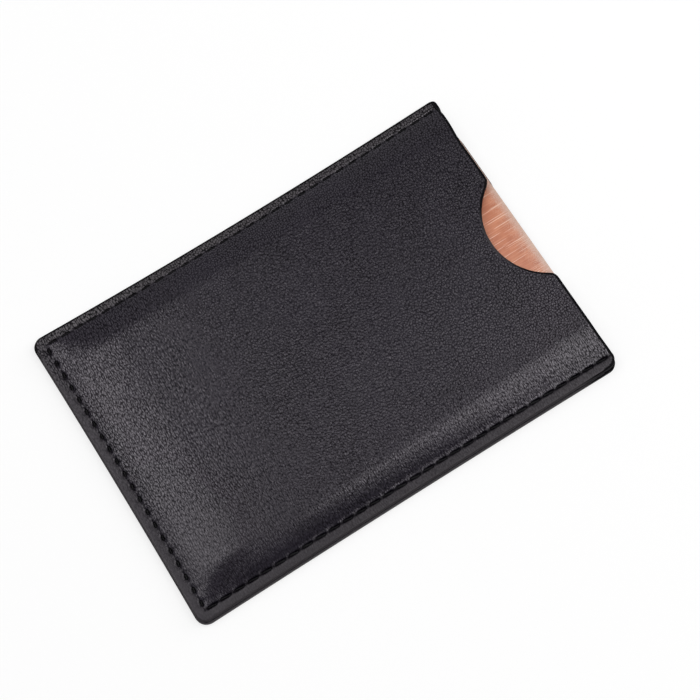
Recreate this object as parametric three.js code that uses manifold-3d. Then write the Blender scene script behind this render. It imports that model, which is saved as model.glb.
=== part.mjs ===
// A flat card sleeve of black leather, sewn on three sides and open at one short end, with one card in its pocket.
// Millimetres, +Z up. The back panel's outer face lies on z = 0, with the origin in its middle.
// +X points out of the mouth and +Y to the upper long side.
import * as THREE from 'three';
import { mergeVertices } from 'three/addons/utils/BufferGeometryUtils.js';
import Module from 'manifold-3d';

const wasm = await Module();
wasm.setup();

// The card, which the sleeve is cut to fit.
const cardLength = 85.6;
const cardWidth = 53.98;
const cardThickness = 0.76;
const cardCornerRadius = 3.18;
const cardProud = 0; // how far its end stands out of the mouth

// Layers.
const leatherThickness = 1.2;
const liningThickness = 0.2;
const stiffenerThickness = 0.4;
const glueLine = 0.05; // between bonded layers
const cardFloorGap = 0.08;
const cardCeilingGap = 0.2;

// Dome of the front: a plateau over the card, and slopes that run down to the seam.
const plateauMargin = 0.5; // how far the plateau reaches past the card's edges
const endSlope = 10.3; // width of the slope at the closed end
const sideSlope = 3.9;

// Outline.
const closedCornerRadius = 2.6;
const pocketCornerRadius = 7; // closed corners of the linings and the stiffener
const mouthCornerRadius = 1;
const frontLedge = 0.4; // the domed front ends this far inside the back on the sewn sides
const upperSideDraw = 0.8; // how far each sewn edge is pulled in between its corners
const lowerSideDraw = 0.25;
const closedEndDraw = 0.3;

// Thumb notch in the front's mouth edge.
const notchRadius = 13.8;
const notchDepth = 7.5;
const notchShoulderRadius = 2;
const liningSetback = 0.6; // the linings stop this far inside the mouth and the notch
const stiffenerSetback = 2.5;
const stiffenerEase = 1.1; // how far the stiffener stays inside the contour that makes room for it

// Lock-stitched seam.
const seamMargin = 1.6; // leather from the front's sewn edges to the stitch channel
const seamEndMargin = 1.4; // leather from the mouth to the stitch channel's end
const stitchPitch = 3.2;
const threadRadius = 0.16;
const threadClearance = 0.05;
const threadSink = 0.06; // how far the stitches lie below the leather's face
const channelEase = 0.04; // from the stitch holes to the sides of the channel
const foldEase = 0.1; // from the channel to the foot of the slopes
const contourEase = 0.1; // how far a lining stays inside the contour that makes room for it

// Facets.
const arcSteps = 5; // half the sides of each rounded corner
const sideSteps = 6;
const slopeSteps = 3;
const plateauSteps = 6;
const threadSides = 5;

// Heights, from the table up.
const floorZ = leatherThickness + 2 * glueLine + stiffenerThickness + liningThickness;
const cardZ = floorZ + cardFloorGap;
const ceilingZ = cardZ + cardThickness + cardCeilingGap;
const plateauLift = ceilingZ + liningThickness - leatherThickness;
const seamHeight = 2 * leatherThickness + glueLine;

// Each needle thread loop hooks a bobbin thread loop at right angles, half way through the seam.
const legOffset = 2 * threadRadius + threadClearance;
const holeHalf = legOffset + threadRadius + threadClearance;
const channelHalf = holeHalf + channelEase;
const channelDepth = 2 * threadRadius + threadClearance + threadSink;

// Plan sizes, from the card out to the back panel's edges.
const seamInset = frontLedge + seamMargin + channelHalf;
const foldInset = seamInset + channelHalf + foldEase;
const endSlack = plateauMargin + closedEndDraw + endSlope + foldInset;
const sideSlack = plateauMargin + Math.max(upperSideDraw, lowerSideDraw) + sideSlope + foldInset;
const sleeveLength = endSlack + cardLength - cardProud;
const sleeveWidth = cardWidth + 2 * sideSlack;
const halfLength = sleeveLength / 2;
const halfWidth = sleeveWidth / 2;
const seamEndX = halfLength - seamEndMargin - channelHalf; // the first and last stitch holes

// The layers inside the pocket end where the front has risen enough to make room for them.
const liningRise = 2 * (liningThickness + glueLine);
const stiffenerRise = liningRise + stiffenerThickness + glueLine;
const liningShare = shareAtRise(liningRise);
const stiffenerShare = shareAtRise(stiffenerRise);

// Share of a slope at which the front has risen by this much, the inverse of riseAtShare.
function shareAtRise(rise) {
  return Math.asin(rise / plateauLift) * 2 / Math.PI;
}

function riseAtShare(share) {
  return plateauLift * Math.sin(THREE.MathUtils.clamp(share, 0, 1) * Math.PI / 2);
}

// Rise of the front panel above the seam. The slopes of two sewn sides meet in a ridge at each closed corner.
function riseAt(x, y) {
  const sideShare = (halfWidth - Math.abs(y) - foldInset) / sideSlope;
  const endShare = (halfLength + x - foldInset) / endSlope;
  return riseAtShare(Math.min(sideShare, endShare));
}

// The pull of the seam bows each sewn edge inward; the mouth keeps its place.
function drawnIn(x, y) {
  const sideDraw = y > 0 ? upperSideDraw : lowerSideDraw;
  const sideBow = 1 - (x / halfLength) ** 2;
  const endBow = 1 - (y / halfWidth) ** 2;
  const inwardX = closedEndDraw * endBow * (halfLength - x) / sleeveLength;
  const inwardY = y * sideDraw / halfWidth * sideBow;
  return new THREE.Vector2(x + inwardX, y - inwardY);
}

// Straight run in short steps, so that it can bow.
function runTo(path, x, y) {
  const start = path.currentPoint.clone();
  const end = new THREE.Vector2(x, y);
  for (let step = 1; step <= sideSteps; step += 1) {
    const point = start.clone().lerp(end, step / sideSteps);
    path.lineTo(point.x, point.y);
  }
}

// Thumb notch: one wide arc between two rounded shoulders on the mouth edge.
function cutNotch(path, mouthX, growth) {
  const radius = notchRadius + growth;
  const shoulder = Math.max(notchShoulderRadius - growth, 0);
  const centreX = halfLength - notchDepth + notchRadius;
  const shoulderX = mouthX - shoulder;
  const shoulderY = Math.sqrt((radius + shoulder) ** 2 - (centreX - shoulderX) ** 2);
  const lean = Math.atan2(shoulderY, centreX - shoulderX);
  path.absarc(shoulderX, -shoulderY, shoulder, 0, lean);
  path.absarc(centreX, 0, radius, lean - Math.PI, Math.PI - lean, true);
  path.absarc(shoulderX, shoulderY, shoulder, -lean, 0);
}

// Outline of a sleeve layer, inset from the back panel's full outline.
function layerOutline(layer) {
  const left = layer.endInset - halfLength;
  const right = halfLength - layer.mouthInset;
  const side = halfWidth - layer.sideInset;
  const closed = layer.closedRadius;
  const mouth = layer.mouthRadius;
  const path = new THREE.Path();
  path.absarc(left + closed, closed - side, closed, Math.PI, 1.5 * Math.PI);
  runTo(path, right - mouth, -side);
  path.absarc(right - mouth, mouth - side, mouth, -0.5 * Math.PI, 0);
  if (layer.notched) {
    cutNotch(path, right, layer.mouthInset);
  }
  path.absarc(right - mouth, side - mouth, mouth, 0, 0.5 * Math.PI);
  runTo(path, left + closed, side);
  path.absarc(left + closed, side - closed, closed, 0.5 * Math.PI, Math.PI);
  runTo(path, left, closed - side);
  return drawnShape(path);
}

function drawnShape(path) {
  const points = path.getPoints(arcSteps).map((point) => drawnIn(point.x, point.y));
  return new THREE.Shape(points);
}

// Middles of the stitch holes, from the mouth along the upper side, down the closed end and back to the mouth.
function stitchCentres() {
  const closedX = seamInset - halfLength;
  const sideY = halfWidth - seamInset;
  const turns = [[seamEndX, sideY], [closedX, sideY], [closedX, -sideY], [seamEndX, -sideY]];
  const corners = turns.map(([x, y]) => new THREE.Vector2(x, y));
  const centres = [corners[0]];
  for (let run = 0; run < corners.length - 1; run += 1) {
    const count = Math.round(corners[run].distanceTo(corners[run + 1]) / stitchPitch);
    for (let stitch = 1; stitch <= count; stitch += 1) {
      centres.push(corners[run].clone().lerp(corners[run + 1], stitch / count));
    }
  }
  return centres.map((centre) => drawnIn(centre.x, centre.y));
}

// Each hole has its own directions along and across the seam, turned half way at the corners.
const stitchHoles = stitchCentres().map((centre, index, centres) => {
  const before = centres[Math.max(index - 1, 0)];
  const after = centres[Math.min(index + 1, centres.length - 1)];
  const along = after.clone().sub(before).normalize();
  const across = new THREE.Vector2(-along.y, along.x);
  return { centre, along, across };
});

function addStitchHoles(shape) {
  for (const { centre, along, across } of stitchHoles) {
    const square = [[1, 1], [-1, 1], [-1, -1], [1, -1]].map(([forward, aside]) => {
      const corner = centre.clone().addScaledVector(along, forward * holeHalf);
      return corner.addScaledVector(across, aside * holeHalf);
    });
    shape.holes.push(new THREE.Path(square));
  }
  return shape;
}

// The pressed channel that the stitches lie in.
function channelShape() {
  const mouthX = seamEndX + channelHalf;
  const closedX = seamInset - halfLength;
  const sideY = halfWidth - seamInset;
  const path = new THREE.Path();
  path.moveTo(mouthX, sideY + channelHalf);
  runTo(path, closedX - channelHalf, sideY + channelHalf);
  runTo(path, closedX - channelHalf, -sideY - channelHalf);
  runTo(path, mouthX, -sideY - channelHalf);
  path.lineTo(mouthX, channelHalf - sideY);
  runTo(path, closedX + channelHalf, channelHalf - sideY);
  runTo(path, closedX + channelHalf, sideY - channelHalf);
  runTo(path, mouthX, sideY - channelHalf);
  return drawnShape(path);
}

function plate(shape, bottomZ, topZ) {
  const geometry = new THREE.ExtrudeGeometry(shape, { depth: topZ - bottomZ, bevelEnabled: false });
  return geometry.translate(0, 0, bottomZ);
}

// Lines of the plan grid on which every domed layer is formed, the same for all so that they nest.
function slopeShares() {
  const shares = [0, liningShare, stiffenerShare];
  for (let step = 1; step <= slopeSteps; step += 1) {
    shares.push(stiffenerShare + (1 - stiffenerShare) * step / slopeSteps);
  }
  return shares;
}

function gridLines() {
  const overrun = foldInset;
  const shares = slopeShares();
  const xLines = [-halfLength - overrun, ...shares.map((share) => foldInset + share * endSlope - halfLength)];
  const yUpper = shares.map((share) => halfWidth - foldInset - share * sideSlope).reverse();
  const plateauX = xLines[xLines.length - 1];
  const plateauY = yUpper[0];
  for (let step = 1; step <= plateauSteps; step += 1) {
    xLines.push(plateauX + (halfLength - plateauX) * step / plateauSteps);
  }
  xLines.push(halfLength + overrun);
  const yMiddle = [];
  for (let step = 1; step < plateauSteps; step += 1) {
    yMiddle.push(plateauY * (2 * step / plateauSteps - 1));
  }
  const ySide = [...yUpper, halfWidth + overrun];
  const yLines = [...ySide.map((y) => -y).reverse(), ...yMiddle, ...ySide];
  return { xLines, yLines };
}

// Closed block between two heights over the grid. Its facets are split along the corner ridges.
function formedBlock(bottomAt, topAt) {
  const { xLines, yLines } = gridLines();
  const positions = [];
  for (const heightAt of [bottomAt, topAt]) {
    for (const x of xLines) {
      for (const y of yLines) {
        const point = drawnIn(x, y);
        positions.push(point.x, point.y, heightAt(x, y));
      }
    }
  }
  const columns = yLines.length;
  const layer = xLines.length * columns;
  const index = [];
  const quad = (a, b, c, d) => index.push(a, b, c, a, c, d);
  for (let i = 0; i < xLines.length - 1; i += 1) {
    for (let j = 0; j < columns - 1; j += 1) {
      const near = i * columns + j;
      const far = near + columns;
      const upper = layer + near;
      const upperFar = layer + far;
      if (yLines[j] < 0) {
        quad(upper, upperFar, upperFar + 1, upper + 1);
        quad(near, near + 1, far + 1, far);
      } else {
        quad(upperFar, upperFar + 1, upper + 1, upper);
        quad(near + 1, far + 1, far, near);
      }
    }
  }
  for (let i = 0; i < xLines.length - 1; i += 1) {
    const low = i * columns;
    const high = low + columns - 1;
    quad(low, low + columns, layer + low + columns, layer + low);
    quad(high + columns, high, layer + high, layer + high + columns);
  }
  for (let j = 0; j < columns - 1; j += 1) {
    const low = j;
    const high = (xLines.length - 1) * columns + j;
    quad(low + 1, low, layer + low, layer + low + 1);
    quad(high, high + 1, layer + high + 1, layer + high);
  }
  const geometry = new THREE.BufferGeometry();
  geometry.setAttribute('position', new THREE.Float32BufferAttribute(positions, 3));
  geometry.setIndex(index);
  return geometry;
}

// Tube of straight lengths with mitred bends and closed ends.
function threadTube(points, radius) {
  const directions = points.slice(1).map((point, index) => point.clone().sub(points[index]).normalize());
  const aside = new THREE.Vector3(-directions[0].y, directions[0].z, directions[0].x);
  const first = aside.cross(directions[0]).normalize();
  const second = directions[0].clone().cross(first);
  let ring = [];
  for (let side = 0; side < threadSides; side += 1) {
    const angle = 2 * Math.PI * side / threadSides;
    const corner = points[0].clone().addScaledVector(first, radius * Math.cos(angle));
    ring.push(corner.addScaledVector(second, radius * Math.sin(angle)));
  }
  const rings = [ring];
  for (let step = 1; step < points.length; step += 1) {
    const inward = directions[step - 1];
    const onward = directions[Math.min(step, directions.length - 1)];
    const mitre = inward.clone().add(onward);
    ring = ring.map((corner) => {
      const reach = points[step].clone().sub(corner).dot(mitre) / inward.dot(mitre);
      return corner.clone().addScaledVector(inward, reach);
    });
    rings.push(ring);
  }
  const index = [];
  for (let step = 0; step < rings.length - 1; step += 1) {
    for (let side = 0; side < threadSides; side += 1) {
      const next = (side + 1) % threadSides;
      const a = step * threadSides + side;
      const b = step * threadSides + next;
      index.push(a, b, b + threadSides, a, b + threadSides, a + threadSides);
    }
  }
  const last = (rings.length - 1) * threadSides;
  for (let side = 1; side < threadSides - 1; side += 1) {
    index.push(0, side + 1, side);
    index.push(last, last + side, last + side + 1);
  }
  const geometry = new THREE.BufferGeometry().setFromPoints(rings.flat());
  geometry.setIndex(index);
  return geometry;
}

// Route of one thread: a stitch along the face from hole to hole, and a loop into every hole.
function threadRoute(faceZ, loopZ, sideways) {
  const route = [];
  const last = stitchHoles.length - 1;
  stitchHoles.forEach(({ centre, along, across }, index) => {
    const offset = sideways ? across : along;
    const entry = centre.clone().addScaledVector(offset, -legOffset);
    const exit = centre.clone().addScaledVector(offset, legOffset);
    if (index > 0) {
      route.push(new THREE.Vector3(entry.x, entry.y, faceZ));
      route.push(new THREE.Vector3(entry.x, entry.y, loopZ));
    }
    if (index < last) {
      route.push(new THREE.Vector3(exit.x, exit.y, loopZ));
      route.push(new THREE.Vector3(exit.x, exit.y, faceZ));
    }
  });
  return route;
}

function solidOf(geometry) {
  const bare = new THREE.BufferGeometry();
  bare.setAttribute('position', geometry.getAttribute('position'));
  bare.setIndex(geometry.getIndex());
  const merged = mergeVertices(bare);
  const vertProperties = new Float32Array(merged.getAttribute('position').array);
  const triVerts = new Uint32Array(merged.getIndex().array);
  return new wasm.Manifold(new wasm.Mesh({ numProp: 3, vertProperties, triVerts }));
}

function geometryOf(solid) {
  const mesh = solid.getMesh();
  const geometry = new THREE.BufferGeometry();
  geometry.setAttribute('position', new THREE.BufferAttribute(mesh.vertProperties, 3));
  geometry.setIndex(new THREE.BufferAttribute(mesh.triVerts, 1));
  geometry.computeVertexNormals();
  return geometry;
}

// Insets of each layer from the back panel's outline.
const liningEndInset = foldInset + liningShare * endSlope + contourEase;
const liningSideInset = foldInset + liningShare * sideSlope + contourEase;
const backLayer = {
  endInset: 0,
  sideInset: 0,
  mouthInset: 0,
  closedRadius: closedCornerRadius,
  mouthRadius: mouthCornerRadius,
};
const frontLayer = {
  ...backLayer,
  endInset: frontLedge,
  sideInset: frontLedge,
  closedRadius: Math.max(closedCornerRadius - frontLedge, 0),
  notched: true,
};
const liningLayer = {
  endInset: liningEndInset,
  sideInset: liningSideInset,
  mouthInset: liningSetback,
  closedRadius: pocketCornerRadius,
  mouthRadius: 0,
};
const stiffenerLayer = {
  endInset: foldInset + stiffenerShare * endSlope + stiffenerEase,
  sideInset: foldInset + stiffenerShare * sideSlope + stiffenerEase,
  mouthInset: stiffenerSetback,
  closedRadius: pocketCornerRadius,
  mouthRadius: 0,
};

// Heights of the domed layers. The two linings lie together outside the stiffener and part over it.
const frontUnderside = (x, y) => leatherThickness + glueLine + riseAt(x, y);
const frontFace = (x, y) => frontUnderside(x, y) + leatherThickness;
const frontLiningTop = (x, y) => frontUnderside(x, y) - glueLine;
const frontLiningBottom = (x, y) => frontLiningTop(x, y) - liningThickness;
const backLiningTop = (x, y) => Math.min(floorZ, frontLiningBottom(x, y) - glueLine);
const backLiningBottom = (x, y) => backLiningTop(x, y) - liningThickness;

// A domed layer is its block trimmed to its outline.
function trimmed(block, shape) {
  const cutterTop = ceilingZ + plateauLift + leatherThickness;
  return solidOf(block).intersect(solidOf(plate(shape, -cutterTop, cutterTop)));
}

function frontPanel() {
  const body = trimmed(formedBlock(frontUnderside, frontFace), addStitchHoles(layerOutline(frontLayer)));
  const channel = plate(channelShape(), seamHeight - channelDepth, seamHeight + channelDepth);
  return geometryOf(body.subtract(solidOf(channel)));
}

function frontLining() {
  const shape = layerOutline({ ...liningLayer, notched: true });
  return geometryOf(trimmed(formedBlock(frontLiningBottom, frontLiningTop), shape));
}

function backLining() {
  return geometryOf(trimmed(formedBlock(backLiningBottom, backLiningTop), layerOutline(liningLayer)));
}

function backStiffener() {
  const bottomZ = leatherThickness + glueLine;
  return plate(layerOutline(stiffenerLayer), bottomZ, bottomZ + stiffenerThickness);
}

function backPanel() {
  const body = solidOf(plate(addStitchHoles(layerOutline(backLayer)), 0, leatherThickness));
  const channel = plate(channelShape(), -channelDepth, channelDepth);
  return geometryOf(body.subtract(solidOf(channel)));
}

function needleThread() {
  const faceZ = seamHeight - threadSink - threadRadius;
  const loopZ = seamHeight / 2 - threadRadius - threadClearance / 2;
  return threadTube(threadRoute(faceZ, loopZ, false), threadRadius);
}

function bobbinThread() {
  const faceZ = threadSink + threadRadius;
  const loopZ = seamHeight / 2 + threadRadius + threadClearance / 2;
  return threadTube(threadRoute(faceZ, loopZ, true), threadRadius);
}

function card() {
  const right = cardLength / 2 - cardCornerRadius;
  const top = cardWidth / 2 - cardCornerRadius;
  const outline = new THREE.Path();
  outline.absarc(right, top, cardCornerRadius, 0, 0.5 * Math.PI);
  outline.absarc(-right, top, cardCornerRadius, 0.5 * Math.PI, Math.PI);
  outline.absarc(-right, -top, cardCornerRadius, Math.PI, 1.5 * Math.PI);
  outline.absarc(right, -top, cardCornerRadius, 1.5 * Math.PI, 2 * Math.PI);
  return plate(new THREE.Shape(outline.getPoints(arcSteps)), 0, cardThickness);
}

function part(name, geometry, color, roughness) {
  const material = new THREE.MeshStandardMaterial({ color, roughness, metalness: 0 });
  const mesh = new THREE.Mesh(geometry, material);
  mesh.name = name;
  return mesh;
}

const leatherBlack = 0x2b2a2e;
const threadBlack = 0x161618;
const liningGrey = 0x2f2e31;
const boardGrey = 0x6d675e;
const cardCopper = 0xc98a66;

const front = new THREE.Group();
front.add(part('front_panel', frontPanel(), leatherBlack, 0.55));
front.add(part('front_lining', frontLining(), liningGrey, 0.85));

const back = new THREE.Group();
back.add(part('back_panel', backPanel(), leatherBlack, 0.55));
back.add(part('back_stiffener', backStiffener(), boardGrey, 0.9));
back.add(part('back_lining', backLining(), liningGrey, 0.85));

const seam = new THREE.Group();
seam.add(part('needle_thread', needleThread(), threadBlack, 0.6));
seam.add(part('bobbin_thread', bobbinThread(), threadBlack, 0.6));

const slidingCard = new THREE.Group();
slidingCard.position.set(halfLength + cardProud - cardLength / 2, 0, cardZ);
slidingCard.add(part('card', card(), cardCopper, 0.35));

const cardSleeve = new THREE.Group();
cardSleeve.add(front, back, seam, slidingCard);

export default cardSleeve;
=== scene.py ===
# %% [markdown]
# # A leather card sleeve
# The real sleeve is two pieces of black leather, glued and lock-stitched on three sides, with a
# thin cloth lining, a board behind the back lining and one card in the pocket. The packed model
# gives every piece its size and place in metres. This lesson dresses it: each soft piece is
# modelled again with finer form, and each surface gets a procedural finish. Loading comes first,
# because all that follows is placed by that frame.

# %% Load the packed sleeve
import math

import bpy
import numpy as np
from mathutils import Matrix, Vector, kdtree, noise


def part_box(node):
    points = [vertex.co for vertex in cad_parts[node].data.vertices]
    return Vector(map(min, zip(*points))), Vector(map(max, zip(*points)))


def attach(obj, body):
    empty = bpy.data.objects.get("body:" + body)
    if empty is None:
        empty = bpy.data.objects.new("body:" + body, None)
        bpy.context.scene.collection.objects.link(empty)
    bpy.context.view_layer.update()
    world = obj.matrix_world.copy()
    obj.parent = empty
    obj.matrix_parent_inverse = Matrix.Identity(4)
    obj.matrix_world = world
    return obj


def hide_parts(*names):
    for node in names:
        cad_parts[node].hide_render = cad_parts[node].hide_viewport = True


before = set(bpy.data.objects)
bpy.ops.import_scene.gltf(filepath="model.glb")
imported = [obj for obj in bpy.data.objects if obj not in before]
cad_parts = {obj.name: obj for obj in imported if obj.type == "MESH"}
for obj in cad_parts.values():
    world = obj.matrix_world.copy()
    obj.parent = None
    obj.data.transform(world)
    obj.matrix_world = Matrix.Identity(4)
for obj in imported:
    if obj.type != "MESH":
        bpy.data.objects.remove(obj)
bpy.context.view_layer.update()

mm = 0.001
print("nodes:", sorted(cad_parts))

# %% [markdown]
# ## The camera
# A render can only be compared with the photograph if both look from the same place. The camera
# could be moved by eye until the outlines agree. Here it is stated as a photographer would: the
# point it aims at, its distance, its lean from straight down, its turn round the sleeve and its
# roll. These five values were worked out from the sleeve's four edges, its seam and its thumb
# notch.

# %% Place the camera
aim_point = Vector((5.85, -2.08, 0.0)) * mm
camera_distance = 387.0 * mm
camera_lean = math.radians(16.92)
camera_turn = math.radians(-20.96)
camera_roll = math.radians(-11.58)

bpy.ops.object.camera_add()
camera = bpy.context.object
camera.name = "photo_camera"
camera.data.sensor_width = 36.0
camera.data.lens = 95.6
camera.data.clip_start = 10 * mm
round_sleeve = Matrix.Rotation(camera_turn, 4, "Z") @ Matrix.Rotation(camera_lean, 4, "X")
pulled_back = Matrix.Rotation(camera_roll, 4, "Z") @ Matrix.Translation((0, 0, camera_distance))
camera.matrix_world = Matrix.Translation(aim_point) @ round_sleeve @ pulled_back
bpy.context.scene.camera = camera
bpy.context.scene.view_settings.view_transform = "Standard"
print("camera at mm:", [round(value / mm, 1) for value in camera.matrix_world.translation])

# %% [markdown]
# ## Sizes of the cut leather
# A maker cuts both panels flat, then glues, forms and sews them. The same order works here: every
# panel starts as a flat pattern, and formulas then form it over the card and draw its edges in. The
# pattern's sizes are the model's own. Lengths are in metres, written as so many mm.

# %% Name the pattern's sizes
half_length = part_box("back_panel")[1].x
half_width = 35.53 * mm
leather = 1.2 * mm
glue_line = 0.05 * mm
lining = 0.2 * mm
seam_top = 2 * leather + glue_line
plateau_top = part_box("front_panel")[1].z
plateau_lift = plateau_top - seam_top

front_ledge = 0.4 * mm
seam_inset = 2.62 * mm
seam_end_inset = 1.0 * mm
fold_inset = 3.34 * mm
stitch_pitch = 3.2 * mm
lower_corner_lift = 0.45 * mm
upper_draw = 0.8 * mm
lower_draw = 0.25 * mm
end_draw = 0.3 * mm

seam_x = seam_inset - half_length
seam_y = half_width - seam_inset
seam_end = half_length - seam_end_inset
side_stitches = round((seam_end - seam_x) / stitch_pitch)
end_stitches = round(2 * seam_y / stitch_pitch)
print("stitches:", side_stitches, "+", end_stitches, "+", side_stitches)

# %% [markdown]
# ## Forming the leather
# Wet leather pressed over a card takes three shapes: flat at the seam, flat over the card, and a
# soft slope between. A cloth simulation could drape it, but pressed leather holds crisper slopes,
# so the rise is a formula: each slope lies between a straight ramp and part of an ellipse. The
# lower one slackens to a ramp at the mouth. At the closed corners two slopes are multiplied, which
# rounds the corner like a pillow.

# %% Write the slopes
def smooth_step(low, high, value):
    share = np.clip((value - low) / (high - low), 0, 1)
    return share * share * (3 - 2 * share)


foot_softness = 0.08
upper_softness, end_softness = 0.14, 0.03
end_slope, end_fullness = 13.5 * mm, 1.65
upper_foot = 0.39 * mm
upper_places = np.array([-46, -40, -30, -10]) * mm
upper_slopes = np.array([10.5, 7.9, 7.2, 6.4]) * mm
upper_fullness = 1.26
lower_places = np.array([-44, -38, -30, -20, 0, 20, 45]) * mm
lower_slopes = np.array([7.2, 6.8, 6.0, 5.0, 5.4, 6.2, 7.4]) * mm
lower_fullness = np.array([1.35, 1.35, 1.30, 1.15, 1.12, 1.12, 1.15])
lower_softness = np.array([0.14, 0.14, 0.14, 0.16, 0.24, 0.34, 0.40])


def slope_share(distance, slope, fullness, top_softness):
    share = distance / slope
    into_foot = np.clip(share, -foot_softness, foot_softness) + foot_softness
    foot = into_foot ** 2 / (4 * foot_softness)
    eased = np.where(share > foot_softness, np.clip(share, 0, 1), foot)
    left = np.sqrt((1 - eased) ** 2 + top_softness ** 2) - top_softness
    left = left / (np.sqrt(1 + top_softness ** 2) - top_softness)
    return (1 - left ** fullness) ** (1 / fullness)


print("lower slope in mm along the side:", lower_slopes / mm)

# %% Write the forming rules
def formed_share(x, y):
    below = np.interp(x, lower_places, lower_slopes)
    side_slope = np.where(y < 0, below, np.interp(x, upper_places, upper_slopes))
    fullness = np.where(y < 0, np.interp(x, lower_places, lower_fullness), upper_fullness)
    softness = np.where(y < 0, np.interp(x, lower_places, lower_softness), upper_softness)
    foot = half_width - np.where(y < 0, fold_inset, fold_inset - upper_foot)
    up_side = slope_share(foot - np.abs(y), side_slope, fullness, softness)
    up_end = slope_share(half_length + x - fold_inset, end_slope, end_fullness, end_softness)
    return up_side * up_end


def seam_lift(x, y):
    towards_mouth = smooth_step(-0.1 * half_length, 0.9 * half_length, x)
    towards_lower = smooth_step(0.5 * half_width, 0.85 * half_width, -y)
    return lower_corner_lift * towards_mouth * towards_lower


def front_rise(x, y):
    share = formed_share(x, y)
    return plateau_lift * share + seam_lift(x, y) * (1 - share)


print("rise over the card in mm:", round(float(front_rise(0.0, 0.0)) / mm, 2))

# %% [markdown]
# The thread of a seam draws the edges in, most at the middle of each side. Nothing holds the
# leather at the mouth, so both corners flare there, and at the upper lobe the front is drawn back
# and the back stands out. These moves are a few tenths of a millimetre in the plan, so formulas of
# the place are enough.

# %% Write the give at the edges
corner_flare = 0.35 * mm
flare_reach = 8 * mm
lobe_reach = 4 * mm
corner_reach = 1.6 * mm
corner_share = 0.9


def drawn_in(x, y):
    side_draw = np.where(y > 0, upper_draw, lower_draw)
    end_bow = 1 - (y / half_width) ** 2
    side_bow = 1 - (x / half_length) ** 2
    drawn_x = x + end_draw * end_bow * (half_length - x) / (2 * half_length)
    return drawn_x, y - y * side_draw / half_width * side_bow


def mouth_flare(x, y):
    near_corner = smooth_step(0.76 * half_width, 0.95 * half_width, np.abs(y))
    near_mouth = smooth_step(half_length - flare_reach, half_length, x)
    return corner_flare * near_corner * near_mouth


def upper_lobe(x, y):
    beside_notch = smooth_step(9 * mm, 13 * mm, y) * (1 - smooth_step(23 * mm, 29 * mm, y))
    at_corner = smooth_step(30.5 * mm, 33.5 * mm, y)
    lobe = beside_notch * smooth_step(half_length - lobe_reach, half_length, x)
    corner = at_corner * smooth_step(half_length - corner_reach, half_length, x)
    return lobe + corner_share * corner


print("flare of a mouth corner in mm:", round(float(mouth_flare(half_length, half_width)) / mm, 2))

# %% [markdown]
# ## A gridded pattern
# A panel with stitches needs small faces beside the seam and along its edges. Subdividing all of it
# would waste them on the plain middle, so grid lines are crowded where they are needed: along every
# edge, across the seam, and seven to each stitch, so that all stitch dents are alike. Side stitches
# show most of their length and end stitches only their middle, so each kind has its own seven.

# %% Lay out the grid lines
edge_lines = np.array([0, 0.05, 0.14, 0.27, 0.45, 0.62, 0.85, 1.2]) * mm
across_seam = np.array([-0.60, -0.36, -0.17, 0, 0.17, 0.36, 0.60]) * mm
side_shares = np.array([0, 0.07, 0.17, 0.28, 0.72, 0.83, 0.93])
end_shares = np.array([0, 0.26, 0.38, 0.46, 0.54, 0.62, 0.74])
least_gap = 0.12 * mm
margin_step = 0.4 * mm


def thinned(lines, low, high):
    kept = [low]
    for line in sorted(lines):
        if line - kept[-1] > least_gap and high - line > least_gap:
            kept.append(line)
    return kept[1:]


def pattern_lines(low, high, crossings, stitches_from, stitches_to, stitches, shares):
    pitch = (stitches_to - stitches_from) / stitches
    starts = stitches_from + pitch * np.arange(stitches)
    along = np.append((starts[:, None] + pitch * shares).ravel(), stitches_to)
    across = np.concatenate([crossing + across_seam for crossing in crossings])
    margin = np.arange(stitches_to, high, margin_step)
    near_seam = np.min(np.abs(along[:, None] - across[None, :]), axis=1) < least_gap
    inner = np.concatenate([along[~near_seam], across, margin])
    inside = thinned(inner, low + edge_lines[-1], high - edge_lines[-1])
    return np.concatenate([low + edge_lines, inside, (high - edge_lines)[::-1]])


def panel_lines(panel):
    left, right, side = panel["left"], panel["right"], panel["side"]
    along_sides = (seam_x, seam_end, side_stitches, side_shares)
    along_end = (-seam_y, seam_y, end_stitches, end_shares)
    x_lines = pattern_lines(left, right, [seam_x], *along_sides)
    y_lines = pattern_lines(-side, side, [-seam_y, seam_y], *along_end)
    return x_lines, y_lines


print("lines along each edge:", len(edge_lines), "and across each seam:", len(across_seam))

# %% [markdown]
# The pattern's outline is a rectangle with rounded corners and, on the front, a thumb notch in the
# mouth edge. Cutting a dense grid with a boolean would leave slivers, so the grid itself is warped:
# each corner square is pressed into a quarter circle, and the lines that reach the notch are
# squeezed back behind it. The lower mouth corner is worn rounder.

# %% Shape the thumb notch
notch_radius = 13.8 * mm
notch_depth = 7.5 * mm
shoulder_radius = 2.0 * mm
least_shoulder = 0.2 * mm


def mouth_reach(y, mouth_x, growth):
    radius = notch_radius + growth
    shoulder = max(shoulder_radius - growth, least_shoulder)
    centre_x = half_length - notch_depth + notch_radius
    shoulder_x = mouth_x - shoulder
    shoulder_y = math.sqrt((radius + shoulder) ** 2 - (centre_x - shoulder_x) ** 2)
    meeting_y = shoulder_y * radius / (radius + shoulder)
    aside = np.abs(y)
    arc = centre_x - np.sqrt(np.maximum(radius ** 2 - aside ** 2, 0))
    bend = shoulder_x + np.sqrt(np.maximum(shoulder ** 2 - (shoulder_y - aside) ** 2, 0))
    return np.where(aside < meeting_y, arc, np.where(aside < shoulder_y, bend, mouth_x))


print("notch floor at x in mm:", round(float(mouth_reach(0.0, half_length, 0.0)) / mm, 2))

# %% Warp the grid to the outline
notch_squeeze = 15.0 * mm
lower_corner_growth = 2.3


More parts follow.
